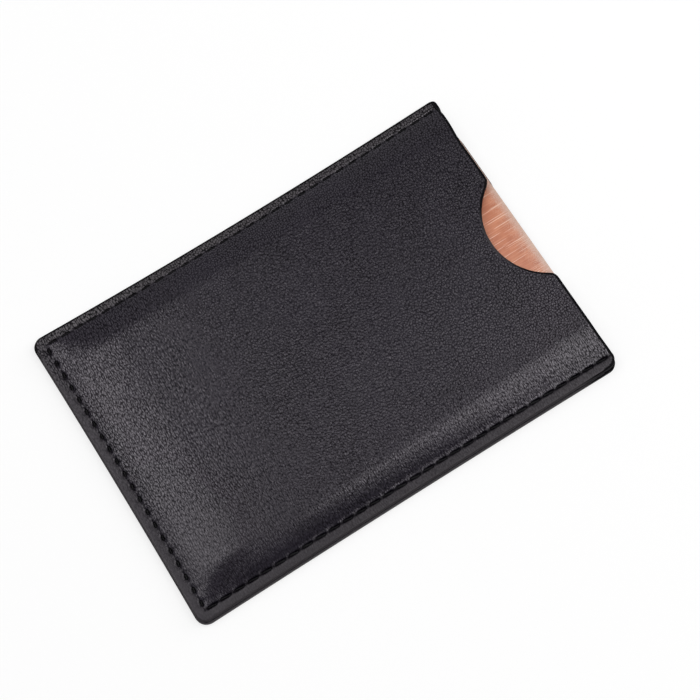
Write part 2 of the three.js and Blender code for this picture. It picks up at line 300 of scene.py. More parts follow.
def rounded_corner(x, y, corner_x, corner_y, radius):
    to_x = math.copysign(1, corner_x)
    to_y = math.copysign(1, corner_y)
    centre_x = corner_x - to_x * radius
    centre_y = corner_y - to_y * radius
    across = (x - centre_x) * to_x / radius
    up = (y - centre_y) * to_y / radius
    inside = (across > 0) & (up > 0)
    round_x = centre_x + to_x * radius * across * np.sqrt(np.clip(1 - up ** 2 / 2, 0, 1))
    round_y = centre_y + to_y * radius * up * np.sqrt(np.clip(1 - across ** 2 / 2, 0, 1))
    return np.where(inside, round_x, x), np.where(inside, round_y, y)


def cut_to_outline(x, y, panel):
    left, right, side = panel["left"], panel["right"], panel["side"]
    for corner_y in (-side, side):
        x, y = rounded_corner(x, y, left, corner_y, panel["closed_radius"])
        mouth_radius = panel["mouth_radius"] * (1 if corner_y > 0 else lower_corner_growth)
        x, y = rounded_corner(x, y, right, corner_y, mouth_radius)
    if panel["notched"]:
        foot = right - notch_squeeze
        share = np.clip((x - foot) / notch_squeeze, 0, 1)
        reach = mouth_reach(y, right, half_length - right)
        notched_x = foot + share * (reach - foot)
        x = np.where((x > foot) & (reach < right), notched_x, x)
    return x, y


print("lower mouth corner is rounder by a factor of", lower_corner_growth)

# %% [markdown]
# ## Dents of the stitches
# Each stitch of a tight seam sinks into the leather, and at the needle holes the leather closes
# over the thread, so a seam reads as a row of short dark dashes. A bump map would not hold the
# thread, so the dents are real: a narrow channel with a deeper trough for every stitch. The three
# rows were sewn under different pull, so each has its own troughs. Each also has its own painted
# shade, in the troughs and on the leather between them, which the finish darkens.

# %% Write the seam's dents
upper_row = {"window": (0.15, 0.28), "depth": 0.26 * mm, "width": 0.21 * mm}
lower_row = {"window": (0.12, 0.24), "depth": 0.30 * mm, "width": 0.25 * mm}
end_row = {"window": (0.26, 0.38), "depth": 0.38 * mm, "width": 0.37 * mm}
upper_row["bridge"] = end_row["bridge"] = {"shade": 0.34, "width": 0.22 * mm}
lower_row["bridge"] = {"shade": 0.46, "width": 0.44 * mm}
channel_depth = 0.06 * mm
channel_width = 0.22 * mm
row_end_ease = 0.5 * mm


def stitch_places(x, y):
    side_place = (x - seam_x) / (seam_end - seam_x) * side_stitches
    end_place = (y + seam_y) / (2 * seam_y) * end_stitches
    return side_place, end_place


def stitch_window(place, window):
    part = place - np.floor(place)
    from_hole = np.minimum(part, 1 - part)
    return smooth_step(*window, from_hole)


def row_dents(across, place, row, on_row):
    trough = np.exp(-(across / row["width"]) ** 2) * stitch_window(place, row["window"])
    channel = np.exp(-(across / channel_width) ** 2)
    bridge = np.exp(-(across / row["bridge"]["width"]) ** 2)
    depth = row["depth"] * trough + channel_depth * channel
    # The shade is painted shade for the finish: darkest in each trough, fainter on the leather
    # between stitches.
    shade = trough + row["bridge"]["shade"] * bridge
    return np.stack([depth, shade]) * on_row


def seam_dents(x, y):
    side_place, end_place = stitch_places(x, y)
    begun = smooth_step(seam_x - row_end_ease, seam_x, x)
    on_side = begun * (1 - smooth_step(seam_end, seam_end + row_end_ease, x))
    on_end = 1 - smooth_step(seam_y, seam_y + row_end_ease, np.abs(y))
    upper = row_dents(y - seam_y, side_place, upper_row, on_side)
    lower = row_dents(y + seam_y, side_place, lower_row, on_side)
    end = row_dents(x - seam_x, end_place, end_row, on_end)
    return np.maximum(np.maximum(upper, lower), end)


print("deepest dent in mm:", round((end_row["depth"] + channel_depth) / mm, 2))

# %% [markdown]
# ## From flat pattern to formed panel
# One recipe makes both leather panels and both linings. A grid is added and extruded, and its
# vertices are then moved: warped to the outline, set to the heights of both faces, rounded along
# the cut edge and drawn in by the seam. A search tree finds each vertex's distance from the
# outline. It is kept as an attribute for the finishes, with three more: where the margin outside
# the seam lies, how flat it is pressed, and how much painted shade the stitch dents and the
# leather between stitches get.

# %% Write the helpers for blocks and edges
edge_samples = 8


def deselect_all():
    bpy.ops.object.select_all(action="DESELECT")


def edit_all(operator, **settings):
    bpy.ops.object.mode_set(mode="EDIT")
    bpy.ops.mesh.select_all(action="SELECT")
    operator(**settings)
    bpy.ops.object.mode_set(mode="OBJECT")


def turn_faces_outward():
    edit_all(bpy.ops.mesh.normals_make_consistent, inside=False)


def gridded_block(name, columns, rows):
    deselect_all()
    bpy.ops.mesh.primitive_grid_add(x_subdivisions=columns - 1, y_subdivisions=rows - 1, size=1)
    block = bpy.context.object
    block.name = name
    edit_all(bpy.ops.mesh.extrude_region_move, TRANSFORM_OT_translate={"value": (0, 0, 1)})
    flat = np.zeros(len(block.data.vertices) * 3)
    block.data.vertices.foreach_get("co", flat)
    flat = flat.reshape(-1, 3)
    column = np.rint((flat[:, 0] + 0.5) * (columns - 1)).astype(int)
    row = np.rint((flat[:, 1] + 0.5) * (rows - 1)).astype(int)
    return block, (row, column), flat[:, 2] > 0.5


def along_outline(grid):
    loop = np.concatenate([grid[0, :-1], grid[:-1, -1], grid[-1, :0:-1], grid[:0:-1, 0]])
    between = np.linspace(0, 1, edge_samples, endpoint=False)[:, None]
    return (loop + between * (np.roll(loop, -1) - loop)).ravel()


def edge_distance(x, y):
    outline = list(zip(along_outline(x), along_outline(y)))
    tree = kdtree.KDTree(len(outline))
    for index, (edge_x, edge_y) in enumerate(outline):
        tree.insert((edge_x, edge_y, 0), index)
    tree.balance()
    found = [tree.find((px, py, 0))[2] for px, py in zip(x.ravel(), y.ravel())]
    return np.array(found).reshape(x.shape)


def rounding(distance, radius):
    inside = np.clip(radius - distance, 0, radius)
    return radius - np.sqrt(radius ** 2 - inside ** 2)


print("outline samples to a grid line:", edge_samples)

# %% Write the panel recipe
margin_fade = (-0.2 * mm, 0.6 * mm)
upper_slack = 0.8
smooth_angle = math.radians(60)


def point_marks(x, y, distance):
    margin = smooth_step(*margin_fade, np.maximum(np.abs(y) - seam_y, seam_x - x))
    less_pressed = upper_slack * smooth_step(0.5 * half_width, 0.9 * half_width, y)
    return {
        "from_edge": distance,
        "margin": margin,
        "pressed": margin * (1 - less_pressed),
        "dented": np.clip(seam_dents(x, y)[1], 0, 1),
    }


def formed_panel(name, panel, x_lines, y_lines, faces_at):
    piece, spot, upper = gridded_block(name, len(x_lines), len(y_lines))
    x, y = cut_to_outline(*np.meshgrid(x_lines, y_lines), panel)
    distance = edge_distance(x, y)
    low, high = faces_at(x, y, distance)
    plan_x, plan_y = drawn_in(x, y)
    plan_x = plan_x + mouth_flare(x, y) + panel["upper_step"] * upper_lobe(x, y)
    formed = np.stack([plan_x[spot], plan_y[spot], low[spot]], axis=1)
    formed[upper, 2] = high[spot][upper]
    piece.data.vertices.foreach_set("co", formed.ravel())
    for mark, values in point_marks(x, y, distance).items():
        attribute = piece.data.attributes.new(mark, "FLOAT", "POINT")
        attribute.data.foreach_set("value", values[spot])
    turn_faces_outward()
    bpy.ops.object.shade_smooth_by_angle(angle=smooth_angle)
    print(name, "has", len(piece.data.polygons), "faces")
    return piece


print("margin fades in over mm:", [round(end / mm, 1) for end in margin_fade])

# %% [markdown]
# Leather is never quite flat. Low swells on the panel come from Blender's own noise, sampled at
# each vertex, and small puckers run from the stitches up the slopes, where the thread gathers the
# leather. Both could be a bump, but then they would be missing from the mesh and its outline.

# %% Write the swells and puckers
swell_height = 0.05 * mm
swell_length = 16.0 * mm
swell_layer = 0.37
pucker_height = 0.022 * mm
pucker_reach = 1.1 * mm


def swells(x, y):
    places = zip((x / swell_length).ravel(), (y / swell_length).ravel())
    heights = [noise.noise(Vector((px, py, swell_layer))) for px, py in places]
    return swell_height * np.array(heights).reshape(x.shape)


def puckers(x, y):
    side_place, end_place = stitch_places(x, y)
    up_side = np.exp(-((seam_y - np.abs(y) - pucker_reach) / pucker_reach) ** 2)
    up_end = np.exp(-((x - seam_x - pucker_reach) / pucker_reach) ** 2)
    side = up_side * np.cos(2 * np.pi * side_place) * (x > seam_x)
    end = up_end * np.cos(2 * np.pi * end_place) * (np.abs(y) < seam_y)
    return pucker_height * (side + end)


print("swells in mm:", round(swell_height / mm, 3), "and puckers:", round(pucker_height / mm, 3))

# %% [markdown]
# ## The front panel
# The front is the piece that the eye rests on: sewn flat at its margin, rising over the card, with
# a thumb notch in its mouth edge. Its underside stays smooth, because it is glued to the lining and
# to the back.

# %% Make the front panel
edge_radius = 0.30 * mm
under_radius = 0.16 * mm
swell_fade = 3 * mm
pucker_fade = mm
front_pattern = {
    "left": front_ledge - half_length,
    "right": half_length,
    "side": half_width - front_ledge,
    "closed_radius": 2.2 * mm,
    "mouth_radius": 1.0 * mm,
    "notched": True,
    "upper_step": -0.42 * mm,
}


def front_faces(x, y, distance):
    rise = front_rise(x, y)
    low = leather + glue_line + rise + rounding(distance, under_radius)
    worn = swells(x, y) * smooth_step(0, swell_fade, distance)
    worn = worn + puckers(x, y) * smooth_step(0, pucker_fade, distance)
    high = seam_top + rise + worn - seam_dents(x, y)[0] - rounding(distance, edge_radius)
    return low, high


front = formed_panel("front_leather", front_pattern, *panel_lines(front_pattern), front_faces)
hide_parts("front_panel")
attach(front, "sleeve")

# %% [markdown]
# ## The back panel
# The back is the same leather, flat, a little larger than the front on the sewn sides. Its stitches
# show on the face that lies on the table, so its dents are pressed in from below.

# %% Make the back panel
back_pattern = {
    "left": -half_length,
    "right": half_length,
    "side": half_width,
    "closed_radius": 2.6 * mm,
    "mouth_radius": 1.0 * mm,
    "notched": False,
    "upper_step": 0.50 * mm,
}


def back_faces(x, y, distance):
    low = seam_dents(x, y)[0] + rounding(distance, edge_radius)
    high = leather - rounding(distance, under_radius)
    return low, high


back = formed_panel("back_leather", back_pattern, *panel_lines(back_pattern), back_faces)
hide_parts("back_panel")
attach(back, "sleeve")

# %% [markdown]
# ## The linings
# A lining is a thin cloth glued inside each panel, cut short of the mouth so that it doesn't show.
# The front lining follows the front's underside and is pressed thinner where the card bears on it,
# and the back lining lies on the board. The panel recipe serves for both, on a coarser grid,
# because cloth has no stitch dents.

# %% Make the linings
lining_setback = 0.6 * mm
lining_end_inset = fold_inset + 1.8 * mm
lining_side_inset = fold_inset + 1.2 * mm
pocket_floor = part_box("back_lining")[1].z
card_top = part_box("card")[1].z
card_clearance = 0.02 * mm
least_lining = 0.08 * mm
card_side_fade = (27.6 * mm, 28.6 * mm)
cloth_step_x, cloth_step_y = 0.8 * mm, 0.6 * mm
lining_pattern = {
    "left": lining_end_inset - half_length,
    "right": half_length - lining_setback,
    "side": half_width - lining_side_inset,
    "closed_radius": 7.0 * mm,
    "mouth_radius": 0.3 * mm,
    "notched": True,
    "upper_step": front_pattern["upper_step"],
}
plain_pattern = {**lining_pattern, "notched": False, "upper_step": 0.0}


def front_lining_faces(x, y, _distance):
    high = leather + front_rise(x, y)
    over_card = 1 - smooth_step(*card_side_fade, np.abs(y))
    short = card_top + card_clearance - (high - lining)
    return high - lining + np.clip(short, 0, lining - least_lining) * over_card, high


def back_lining_faces(x, y, _distance):
    parted = leather + front_rise(x, y) - lining - glue_line
    high = np.minimum(pocket_floor, parted)
    return high - lining, high


def cloth_lines(low, high, step):
    return np.linspace(low, high, round((high - low) / step) + 1)


cloth_grid = (
    cloth_lines(lining_pattern["left"], lining_pattern["right"], cloth_step_x),
    cloth_lines(-lining_pattern["side"], lining_pattern["side"], cloth_step_y),
)
front_lining = formed_panel("front_lining_cloth", lining_pattern, *cloth_grid, front_lining_faces)
back_lining = formed_panel("back_lining_cloth", plain_pattern, *cloth_grid, back_lining_faces)
for cloth, node in ((front_lining, "front_lining"), (back_lining, "back_lining")):
    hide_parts(node)
    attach(cloth, "sleeve")

# %% [markdown]
# ## The threads
# Two threads make a lock stitch: the needle thread runs on the front and the bobbin thread on the
# back, and at each hole they hook round each other inside the leather. Each is one unbroken length.
# A curve through all the holes gives its path, a three-lobed section its plies, and the tilt of the
# curve's points their twist.

# %% Find the stitch holes
def run(start, end, stitches):
    shares = np.linspace(0, 1, stitches + 1)[1:, None]
    return np.array(start) * (1 - shares) + np.array(end) * shares


corners = [(seam_end, seam_y), (seam_x, seam_y), (seam_x, -seam_y), (seam_end, -seam_y)]
counts = [side_stitches, end_stitches, side_stitches]
runs = [run(*ends, count) for *ends, count in zip(corners[:-1], corners[1:], counts)]
hole_places = np.concatenate([[corners[0]], *runs])
holes = np.stack(drawn_in(hole_places[:, 0], hole_places[:, 1]), axis=1)
print("stitch holes:", len(holes))

# %% [markdown]
# A stitch lies level between two holes and dives at both ends. It also lies a little aslant,
# because each thread leaves a hole on one side and enters the next on the other. The part inside
# the leather is pulled thin.

# %% Write the thread's path
thread_radius = 0.20 * mm
points_per_stitch = 22
stitch_slant = 0.10 * mm
early_dive = 0.10 * mm
pulled_thin = 0.45


def thread_path(face_z, hole_z, lift):
    path = []
    for index, (start, end) in enumerate(zip(holes[:-1], holes[1:])):
        along = end - start
        length = np.linalg.norm(along)
        across = np.array([-along[1], along[0]]) / length
        side_row = upper_row if start[1] > 0 else lower_row
        row = side_row if abs(along[0]) > abs(along[1]) else end_row
        dive = [share * length - early_dive for share in row["window"]]
        for share in np.arange(points_per_stitch) / points_per_stitch:
            from_hole = min(share, 1 - share) * length
            buried = 1 - float(smooth_step(*dive, from_hole))
            aslant = stitch_slant * math.sin(2 * math.pi * share)
            place = start + along * share + across * aslant
            raised = lift[index] + (lift[index + 1] - lift[index]) * share
            height = face_z + (hole_z - face_z) * buried + raised
            path.append((place[0], place[1], height, 1 - pulled_thin * buried))
    path.append((holes[-1][0], holes[-1][1], hole_z + lift[-1], 1 - pulled_thin))
    return np.array(path)


print("points on each thread:", (len(holes) - 1) * points_per_stitch + 1)

# %% Write the thread maker
plies = 3
points_per_ply = 4
ply_groove = 0.14
twist_length = 1.3 * mm


def ply_section(name):
    section = bpy.data.curves.new(name, "CURVE")
    section.dimensions = "2D"
    spline = section.splines.new("POLY")
    sides = points_per_ply * plies
    spline.points.add(sides - 1)
    for index, point in enumerate(spline.points):
        angle = 2 * math.pi * index / sides
        radius = thread_radius * (1 - ply_groove + ply_groove * math.cos(plies * angle))
        point.co = (radius * math.cos(angle), radius * math.sin(angle), 0, 1)
    spline.use_cyclic_u = True
    holder = bpy.data.objects.new(name, section)
    bpy.context.scene.collection.objects.link(holder)
    return holder


def sewn_thread(name, face_z, hole_z, lift):
    path = thread_path(face_z, hole_z, lift)
    curve = bpy.data.curves.new(name, "CURVE")
    curve.dimensions = "3D"
    spline = curve.splines.new("POLY")
    spline.points.add(len(path) - 1)
    steps = np.linalg.norm(np.diff(path[:, :3], axis=0), axis=1)
    travelled = np.concatenate([[0], np.cumsum(steps)])
    for point, (px, py, pz, width), reached in zip(spline.points, path, travelled):
        point.co = (px, py, pz, 1)
        point.radius = width
        point.tilt = 2 * math.pi * reached / twist_length
    section = ply_section(name + "_section")
    curve.bevel_mode = "OBJECT"
    curve.bevel_object = section
    curve.use_fill_caps = True
    thread = bpy.data.objects.new(name, curve)
    bpy.context.scene.collection.objects.link(thread)
    deselect_all()
    thread.select_set(True)
    bpy.context.view_layer.objects.active = thread
    bpy.ops.object.convert(target="MESH")
    turn_faces_outward()
    bpy.ops.object.shade_smooth()
    bpy.data.objects.remove(section)
    faces = len(thread.data.polygons)
    print(name, "is", round(travelled[-1] / mm), "mm long, with", faces, "faces")
    return thread


print("plies:", plies, "with a full twist every mm:", round(twist_length / mm, 2))

# %% [markdown]
# Both threads follow the same holes. The needle thread lies in the front's dents and rises with the
# seam towards the lower mouth corner, and the bobbin thread lies flat in the back's. A small gap
# keeps them apart where they hook.

# %% Sew the seam
stitch_sink = 0.10 * mm
lock_gap = 0.13 * mm
seam_middle = seam_top / 2
upper_face = seam_top - stitch_sink - thread_radius
lower_face = stitch_sink + thread_radius
upper_lift = seam_lift(hole_places[:, 0], hole_places[:, 1])
no_lift = np.zeros(len(holes))
needle = sewn_thread("needle_stitches", upper_face, seam_middle + lock_gap, upper_lift)
bobbin = sewn_thread("bobbin_stitches", lower_face, seam_middle - lock_gap, no_lift)
for thread, node in ((needle, "needle_thread"), (bobbin, "bobbin_thread")):
    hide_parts(node)
    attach(thread, "sleeve")

# %% [markdown]
# ## The card
# A card is three plastic layers pressed together and punched out: rounded corners, flat faces and
# edges that are broken by only a few hundredths of a millimetre. A cube set to the model's box is
# bevelled twice, first at the four upright edges and then all round both faces.

# %% Make the card
card_low, card_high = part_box("card")
card_middle, card_size = (card_low + card_high) / 2, card_high - card_low
card_corner, corner_segments = 3.18 * mm, 20
card_break, break_segments = 0.07 * mm, 3
upright_height = 0.1 * mm
sharp_angle = math.radians(30)

deselect_all()
bpy.ops.mesh.primitive_cube_add(size=1, location=card_middle, scale=card_size)
card = bpy.context.object
card.name = "copper_card"
bpy.ops.object.transform_apply(location=True, rotation=True, scale=True)


def bevel_edges(piece, upright, offset, segments):
    bpy.ops.object.mode_set(mode="EDIT")
    bpy.ops.mesh.select_mode(type="EDGE")
    bpy.ops.mesh.select_all(action="DESELECT")
    bpy.ops.object.mode_set(mode="OBJECT")
    points = piece.data.vertices
    for edge in piece.data.edges:
        start, end = (points[index].co for index in edge.vertices)
        edge.select = (abs(start.z - end.z) > upright_height) == upright
    bpy.ops.object.mode_set(mode="EDIT")
    bpy.ops.mesh.bevel(offset=offset, segments=segments, affect="EDGES")
    bpy.ops.object.mode_set(mode="OBJECT")


bevel_edges(card, True, card_corner, corner_segments)
bevel_edges(card, False, card_break, break_segments)
bpy.ops.object.shade_smooth_by_angle(angle=sharp_angle)
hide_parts("card")
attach(card, "card")
print("card faces:", len(card.data.polygons))

# %% [markdown]
# ## Finishes
# Every finish is a node material on Object coordinates, so that its grain keeps its real size in
# millimetres. A small class keeps the node code readable: it adds a node, sets or links its inputs,
# and names the kinds of node that the finishes share. The Mix node's colour sockets share their
# names with others, so they are called by number.

# %% Write the node helpers
mix_first, mix_second, mix_result = 6, 7, 2


class Finish:
    def __init__(self, name):
        self.material = bpy.data.materials.new(name)
        self.material.use_nodes = True
        self.tree = self.material.node_tree
        self.surface = self.tree.nodes["Principled BSDF"]
        self.place = self.add("ShaderNodeTexCoord").outputs["Object"]

    def add(self, kind, inputs=None, **settings):
        node = self.tree.nodes.new(kind)
        for name, value in settings.items():
            setattr(node, name, value)
        for name, value in (inputs or {}).items():
            self.feed(node.inputs[name], value)
        return node

    def feed(self, socket, value):
        if isinstance(value, bpy.types.NodeSocket):
            self.tree.links.new(value, socket)
        else:
            socket.default_value = value

    def axes(self):
        return self.add("ShaderNodeSeparateXYZ", {"Vector": self.place}).outputs

    def attribute(self, name):
        return self.add("ShaderNodeAttribute", attribute_name=name).outputs["Fac"]

    def stretch(self, scale, turn=0.0):
        turned = (0, 0, math.radians(turn))
        inputs = {"Vector": self.place, "Scale": scale, "Rotation": turned}
        return self.add("ShaderNodeMapping", inputs).outputs["Vector"]

    def noise(self, vector, scale, detail=3.0, roughness=0.5):
        inputs = {"Vector": vector, "Scale": scale, "Detail": detail, "Roughness": roughness}
        return self.add("ShaderNodeTexNoise", inputs).outputs["Fac"]

    def ramp(self, value, low, high, to_low=0.0, to_high=1.0):
        inputs = {"Value": value, "From Min": low, "From Max": high}
        results = {"To Min": to_low, "To Max": to_high}
        return self.add("ShaderNodeMapRange", {**inputs, **results}).outputs["Result"]

    def math(self, operation, first, second):
        return self.add("ShaderNodeMath", {0: first, 1: second}, operation=operation).outputs[0]

    def sum(self, *weighted):
        total = 0.0
        for value, weight in weighted:
            inputs = {0: value, 1: weight, 2: total}
            total = self.add("ShaderNodeMath", inputs, operation="MULTIPLY_ADD").outputs[0]
        return total

    def levelled(self, share, value, level):
        inputs = {"Factor": share, "A": value, "B": level}
        return self.add("ShaderNodeMix", inputs).outputs["Result"]

    def mix(self, share, first, second):
        colours = {"Factor": share, mix_first: first, mix_second: second}
        return self.add("ShaderNodeMix", colours, data_type="RGBA").outputs[mix_result]

    def relief(self, height, depth, strength=1.0):
        inputs = {"Height": height, "Distance": depth, "Strength": strength}
        bump = self.add("ShaderNodeBump", inputs)
        self.feed(self.surface.inputs["Normal"], bump.outputs["Normal"])

    def set(self, **inputs):
        for name, value in inputs.items():
            self.feed(self.surface.inputs[name.replace("_", " ")], value)


print("node helpers:", [name for name in vars(Finish) if not name.startswith("_")])

# %% [markdown]
# ## Black leather
# The grain of the real leather is a field of small domed cells, half a millimetre across. Where it
# was pulled over the card, at the closed end and along the lower slope, they are drawn out and
# short wrinkles cross them, and by the lower closed corner the grain is calmer. A Voronoi texture
# gives the cells: the distance to the rim, divided by the distances to rim and middle together, is
# an even dome.

# %% Write the cells of the grain
grain_turn = 4.0
long_stretch, long_cells_per_metre = 0.40, 2500.0
round_stretch, round_cells_per_metre = 0.80, 2150.0


def voronoi(finish, cells, feature):
    node = finish.add("ShaderNodeTexVoronoi", cells, feature=feature, voronoi_dimensions="2D")
    return node.outputs["Distance"]


def pebbles(finish, sway, stretch, cells_per_metre):
    drawn_out = finish.stretch((1.0, stretch, 1.0), grain_turn)
    bent = finish.add("ShaderNodeVectorMath", {0: drawn_out, 1: sway}, operation="ADD").outputs[0]
    cells = {"Vector": bent, "Scale": cells_per_metre}
    rim = voronoi(finish, cells, "DISTANCE_TO_EDGE")
    middle = voronoi(finish, cells, "F1")
    dome = finish.math("DIVIDE", rim, finish.math("ADD", rim, middle))
    return finish.ramp(dome, 0.02, 0.55, -0.5, 0.5)


print("cells to the millimetre:", long_cells_per_metre * mm, "and", round_cells_per_metre * mm)

# %% Add up the grain
cell_sway = 0.09 * mm
tight_level = 0.40


def grain_height(finish, where):
    wander = finish.noise(finish.place, 1500.0, 1.0)
    shift = {0: (1, 0.4, 0), "Scale": finish.ramp(wander, 0.3, 0.7, -cell_sway, cell_sway)}
    sway = finish.add("ShaderNodeVectorMath", shift, operation="SCALE").outputs[0]
    at_end = finish.ramp(where["X"], -29 * mm, -13 * mm, 1, 0)
    at_side = finish.ramp(where["Y"], -30 * mm, -18 * mm, 0.7, 0.0)
    pulled = finish.math("MAXIMUM", at_end, at_side)
    bands = {"Vector": finish.stretch((1.0, 0.36, 1.0), grain_turn), "Scale": 560.0}
    bends = {"Distortion": 9.0, "Detail": 1.0, "Detail Scale": 2.2}
    wave = finish.add("ShaderNodeTexWave", {**bands, **bends}).outputs["Fac"]
    wrinkles = finish.math("SUBTRACT", wave, 0.5)
    long_cells = pebbles(finish, sway, long_stretch, long_cells_per_metre)
    round_cells = pebbles(finish, sway, round_stretch, round_cells_per_metre)
    creases = finish.noise(finish.stretch((1.0, 0.8, 1.0), grain_turn), 3000.0, 0.0)
    pores = finish.noise(finish.place, 4400.0, 0.0)
    height = finish.sum(
        (long_cells, finish.ramp(pulled, 0, 1, 0.0, 0.50)),
        (round_cells, finish.ramp(pulled, 0, 1, 0.52, 0.0)),
        (wrinkles, finish.ramp(pulled, 0, 1, 0.08, 0.30)),
        (creases, 0.55),
        (pores, 0.30),
        (1.0, 0.005),
    )
    low_side = finish.ramp(where["Y"], -22 * mm, -2 * mm, 0.5, 0.0)
    closed_half = finish.ramp(where["X"], -30 * mm, -6 * mm, 1, 0)
    tight = finish.math("MULTIPLY", low_side, closed_half)
    return finish.levelled(tight, height, tight_level)


print("sway of the cells in mm:", round(cell_sway / mm, 2))

# %% [markdown]
# A bump alone would look flat under broad soft light, so the hollows of the grain also carry
# painted shade and reflect less. The margin is pressed smoother and is lighter, and the stitch
# dents and the leather between stitches carry painted shade, nearly black. The reflection has a
# slight tint, as a dressing gives it.

# %% Write the leather's tone and shine
hollow_shade_black, ridge_black = (0.0040, 0.0033, 0.0050, 1), (0.0235, 0.0200, 0.0300, 1)
margin_hollow_shade, margin_ridge_tone = (0.004, 0.004, 0.004, 1), (0.124, 0.114, 0.122, 1)
worn_black = (0.0225, 0.0190, 0.0295, 1)
dent_painted_shade = (0.0015, 0.0013, 0.0020, 1)
dent_fade = (0.10, 0.50)


def leather_tone(finish, where, relief, ridge, patches):
    # Painted shade: the hollows of the grain are darker than its ridges.
    grain = finish.mix(ridge, hollow_shade_black, ridge_black)
    worn = finish.mix(finish.ramp(patches, 0.35, 0.75, 0.0, 0.35), grain, worn_black)
    # The margin is paler, least at the closed end and most along the top, with painted shade in the
    # hollows of its grain.
    pale = finish.mix(finish.ramp(relief, 0.25, 0.70), margin_hollow_shade, margin_ridge_tone)
    at_sides = finish.ramp(where["X"], -48.5 * mm, -46 * mm, 0.46, 0.66)
    at_top = finish.ramp(where["Y"], 30 * mm, 33 * mm, 0.0, 0.14)
    margin_paling = finish.math("ADD", at_sides, at_top)
    paler_margin = finish.math("MULTIPLY", finish.attribute("margin"), margin_paling)
    rubbed = finish.mix(paler_margin, worn, pale)
    # Painted shade: the stitch dents and the leather between stitches are nearly black.
    dented = finish.ramp(finish.attribute("dented"), *dent_fade, 0.0, 0.9)
    return finish.mix(dented, rubbed, dent_painted_shade)


def leather_shine(finish, ridge):
    shine = finish.ramp(ridge, 0, 1, 0.10, 0.88)
    on_margin = finish.ramp(finish.attribute("margin"), 0, 1, 1.0, 0.40)
    in_dents = finish.ramp(finish.attribute("dented"), *dent_fade, 1.0, 0.06)
    dulled = finish.math("MULTIPLY", shine, on_margin)
    return finish.math("MULTIPLY", dulled, in_dents)


print("leather tones, hollow and ridge:", hollow_shade_black, ridge_black)

# %% Make the leather finish
dressing_tint = (1.0, 0.95, 1.0, 1)
grain_depth = 0.03 * mm
pressed_level = 0.48

finish = Finish("black_leather_grain")
where = finish.axes()
pressing = finish.ramp(finish.attribute("pressed"), 0, 1, 0, 0.75)
relief = finish.levelled(pressing, grain_height(finish, where), pressed_level)
finish.relief(relief, grain_depth)
ridge = finish.ramp(relief, 0.16, 0.78)
patches = finish.noise(finish.place, 90.0, 3.0)
gloss = finish.sum((ridge, -0.08), (patches, 0.06), (1.0, 0.23))
finish.set(Base_Color=leather_tone(finish, where, relief, ridge, patches), Roughness=gloss)
finish.set(Specular_IOR_Level=leather_shine(finish, ridge), Specular_Tint=dressing_tint, IOR=1.5)
for panel in (front, back):
    panel.data.materials.append(finish.material)
print("leather finish has", len(finish.tree.nodes), "nodes")

# %% [markdown]
# The cut edges are painted with a thin black coat, black at the mouth and along the upper side. On
# the closed end and the lower side the edges are a dark grey of painted light, for the light they
# catch, and the front's lower edge is darker with painted shade. The paint laps a little onto the
# faces, so every face that lies wholly within the painted width of the outline takes this second
# material.

# %% Make the edge paint
black_paint, shaded_front_lower_paint = (0.0045, 0.0042, 0.0052, 1), (0.047, 0.043, 0.047, 1)
lit_edge_paint_dark, lit_edge_paint_pale = (0.062, 0.057, 0.062, 1), (0.104, 0.096, 0.103, 1)

finish = Finish("black_edge_paint")
uneven = finish.noise(finish.place, 900.0, 3.0)
finish.relief(uneven, 0.05 * mm, 0.5)
where = finish.axes()
at_mouth = finish.ramp(where["X"], 40 * mm, 45 * mm)
at_top = finish.ramp(where["Y"], 30 * mm, 33 * mm)
on_front = finish.ramp(where["Z"], 1.15 * mm, 1.30 * mm)
on_lower = finish.ramp(where["Y"], -33 * mm, -31 * mm, 1, 0)
# Painted light: the edges of the closed end and the lower side are grey for the light they catch,
# with painted shade on the front's lower edge; the mouth and the upper side stay black.
worn = finish.mix(uneven, lit_edge_paint_dark, lit_edge_paint_pale)
rubbed = finish.mix(finish.math("MULTIPLY", on_front, on_lower), worn, shaded_front_lower_paint)
tone = finish.mix(finish.math("MAXIMUM", at_mouth, at_top), rubbed, black_paint)
dull = finish.ramp(uneven, 0.3, 0.7, 0.5, 0.6)
finish.set(Base_Color=tone, Roughness=dull, Specular_IOR_Level=0.04)
for panel in (front, back):
    panel.data.materials.append(finish.material)
print("edge paint has", len(finish.tree.nodes), "nodes")

# %% Paint the edges
painted_mouth, painted_upper, painted_side = 0.63 * mm, 0.46 * mm, 0.30 * mm
widening = (half_length - 5 * mm, half_length - mm)


def painted_width(x, y):
    if x > half_length - notch_depth - mm and abs(y) < seam_y:
        return painted_mouth
    side = painted_upper if y > seam_y else painted_side
    return side + (painted_mouth - side) * smooth_step(*widening, x)


for panel in (front, back):
    distances = np.zeros(len(panel.data.vertices))
    panel.data.attributes["from_edge"].data.foreach_get("value", distances)
    painted = 0
    for face in panel.data.polygons:
        width = painted_width(face.center.x, face.center.y)
        if max(distances[index] for index in face.vertices) < width:
            face.material_index = 1
            painted += 1
    print(panel.name, "has", painted, "painted faces")

# %% [markdown]
# ## Lining cloth
# The cloth is a plain weave. Modelling each yarn would take millions of faces for something that is
# seen only through the mouth, so two waves at right angles lift warp and weft in a bump, and
# streaks of noise stand for thicker yarns.

# %% Make the cloth finish
yarns_per_metre = 2500.0
scale_per_band = 0.314

